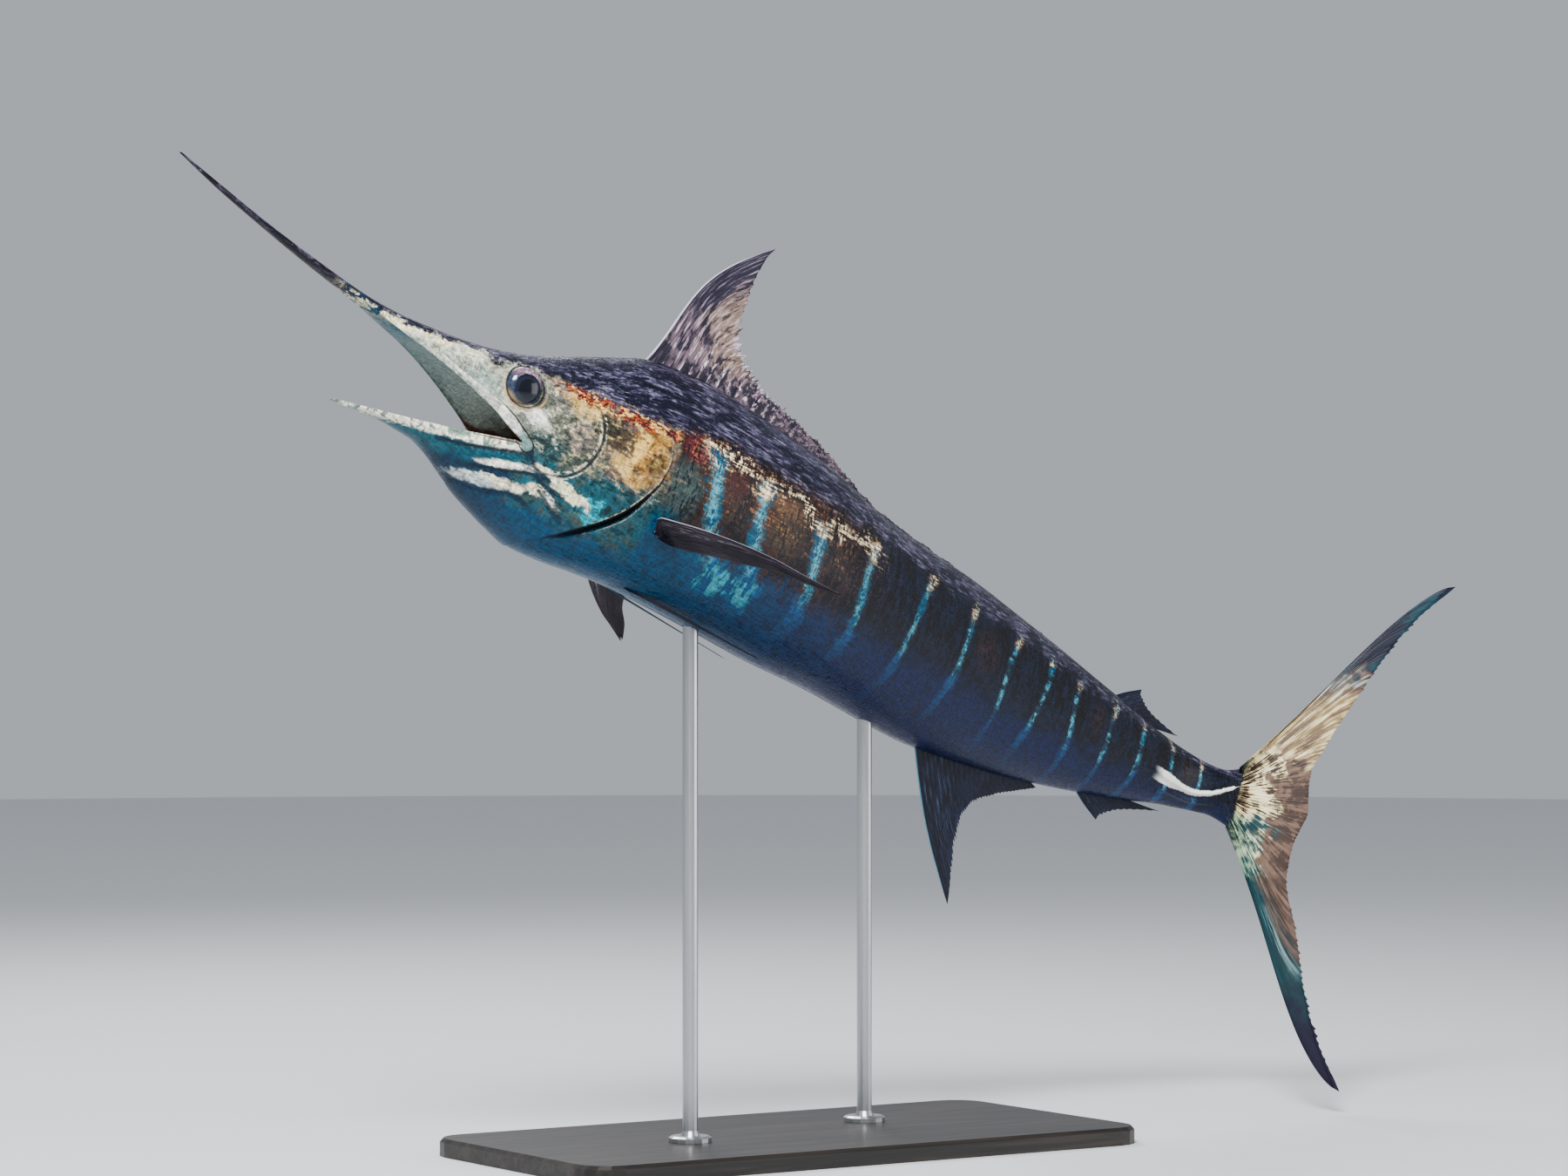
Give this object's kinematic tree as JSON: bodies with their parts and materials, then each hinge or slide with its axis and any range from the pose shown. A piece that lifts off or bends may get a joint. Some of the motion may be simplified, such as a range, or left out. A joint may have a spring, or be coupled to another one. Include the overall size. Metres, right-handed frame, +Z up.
{
  "type": "blue marlin model on a stand",
  "caption": "Life-size still blue marlin, lunging with its bill raised and mouth open, held on two rods over a flat base.",
  "frame": {"origin": "middle of the stand base's flat underside", "axes": "+Z up, head and bill towards -X, the fish's left side towards -Y"},
  "size_m": [2.5778, 0.819, 1.6224],
  "materials": {
    "bill_skin": "dark violet-black, wet gloss, pale streak on its upper side near the face",
    "head_skin": "pearly white, cream and gold cheek under a dark slate crown, wet gloss",
    "jaw_skin": "cream edge over teal and blue throat, wet gloss",
    "gill_skin": "gold and orange mottle, teal at the bottom, wet gloss",
    "eye": "dark blue and violet iris round a black pupil, clear wet gloss",
    "flank_skin": "slate-violet back, copper-brown flank with turquoise bars, steel-blue belly, wet gloss",
    "fin_membrane": "dark violet-grey membrane with paler ray streaks",
    "tail_membrane": "gold and cream base, slate to navy lobes with ray streaks",
    "stand_wood": "black-stained board, satin",
    "stand_steel": "brushed steel rod"
  },
  "bodies": {
    "root": {"bill": "bill_skin", "head": "head_skin", "lower_jaw": "jaw_skin", "gill_cover_left": "gill_skin", "gill_cover_right": "gill_skin", "eye_left": "eye", "eye_right": "eye", "trunk_front": "flank_skin", "trunk_middle": "flank_skin", "trunk_rear": "flank_skin", "tail_stalk": "flank_skin", "dorsal_fin_first": "fin_membrane", "dorsal_fin_second": "fin_membrane", "anal_fin_first": "fin_membrane", "anal_fin_second": "fin_membrane", "pectoral_fin_left": "fin_membrane", "pectoral_fin_right": "fin_membrane", "pelvic_fin_left": "fin_membrane", "pelvic_fin_right": "fin_membrane", "tail_fin_upper": "tail_membrane", "tail_fin_lower": "tail_membrane", "stand_base": "stand_wood", "stand_rod_front": "stand_steel", "stand_rod_rear": "stand_steel"}
  },
  "joints": []
}
